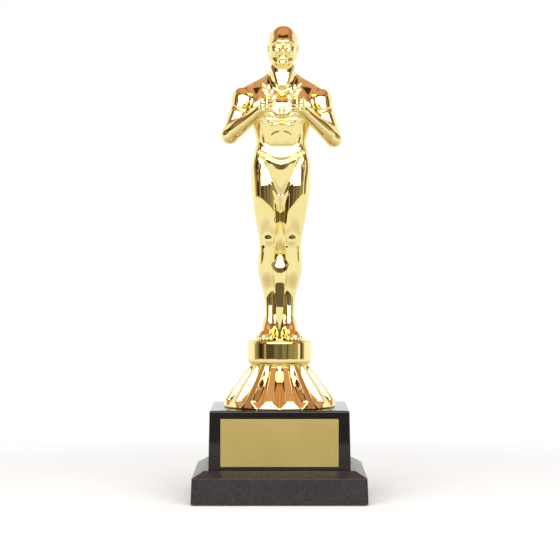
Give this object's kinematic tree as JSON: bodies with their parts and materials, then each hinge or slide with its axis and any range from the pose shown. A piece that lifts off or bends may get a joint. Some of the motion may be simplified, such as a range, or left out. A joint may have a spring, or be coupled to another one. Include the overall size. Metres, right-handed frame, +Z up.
{
  "type": "figure trophy",
  "caption": "Award trophy: a golden standing figure holding a laurel wreath, on a fluted riser and a black stepped base with a blank engraving plate.",
  "frame": {"origin": "centre of the base's footprint, on the shelf under the felt pads", "axes": "+Z up, -Y to the front that the figure faces and that carries the plate, +X to the viewer's right"},
  "size_m": [0.1116, 0.1014, 0.3058],
  "materials": {
    "black_plastic": "semi-gloss moulded",
    "cover_plastic": "matte moulded",
    "gold_plated_plastic": "bright gold metallised",
    "plate_brass": "fine satin",
    "insert_brass": "turned",
    "zinc_steel": "zinc plated",
    "ballast_iron": "as cast",
    "green_felt": "felt",
    "tape_foam": "foam tape"
  },
  "bodies": {
    "root": {"plinth": "black_plastic", "pedestal": "black_plastic", "bottom_cover": "cover_plastic", "base_screws": "zinc_steel", "cover_screws": "zinc_steel", "felt_pads": "green_felt", "ballast": "ballast_iron", "stud": "zinc_steel", "stud_nut": "zinc_steel", "stud_washer": "zinc_steel", "lock_washer": "zinc_steel", "engraving_plate": "plate_brass", "plate_tape": "tape_foam", "fluted_riser": "gold_plated_plastic", "foot_disc": "gold_plated_plastic", "threaded_insert": "insert_brass", "ankle_dowels": "zinc_steel", "figure_front": "gold_plated_plastic", "figure_back": "gold_plated_plastic", "laurel_wreath": "gold_plated_plastic"}
  },
  "joints": []
}
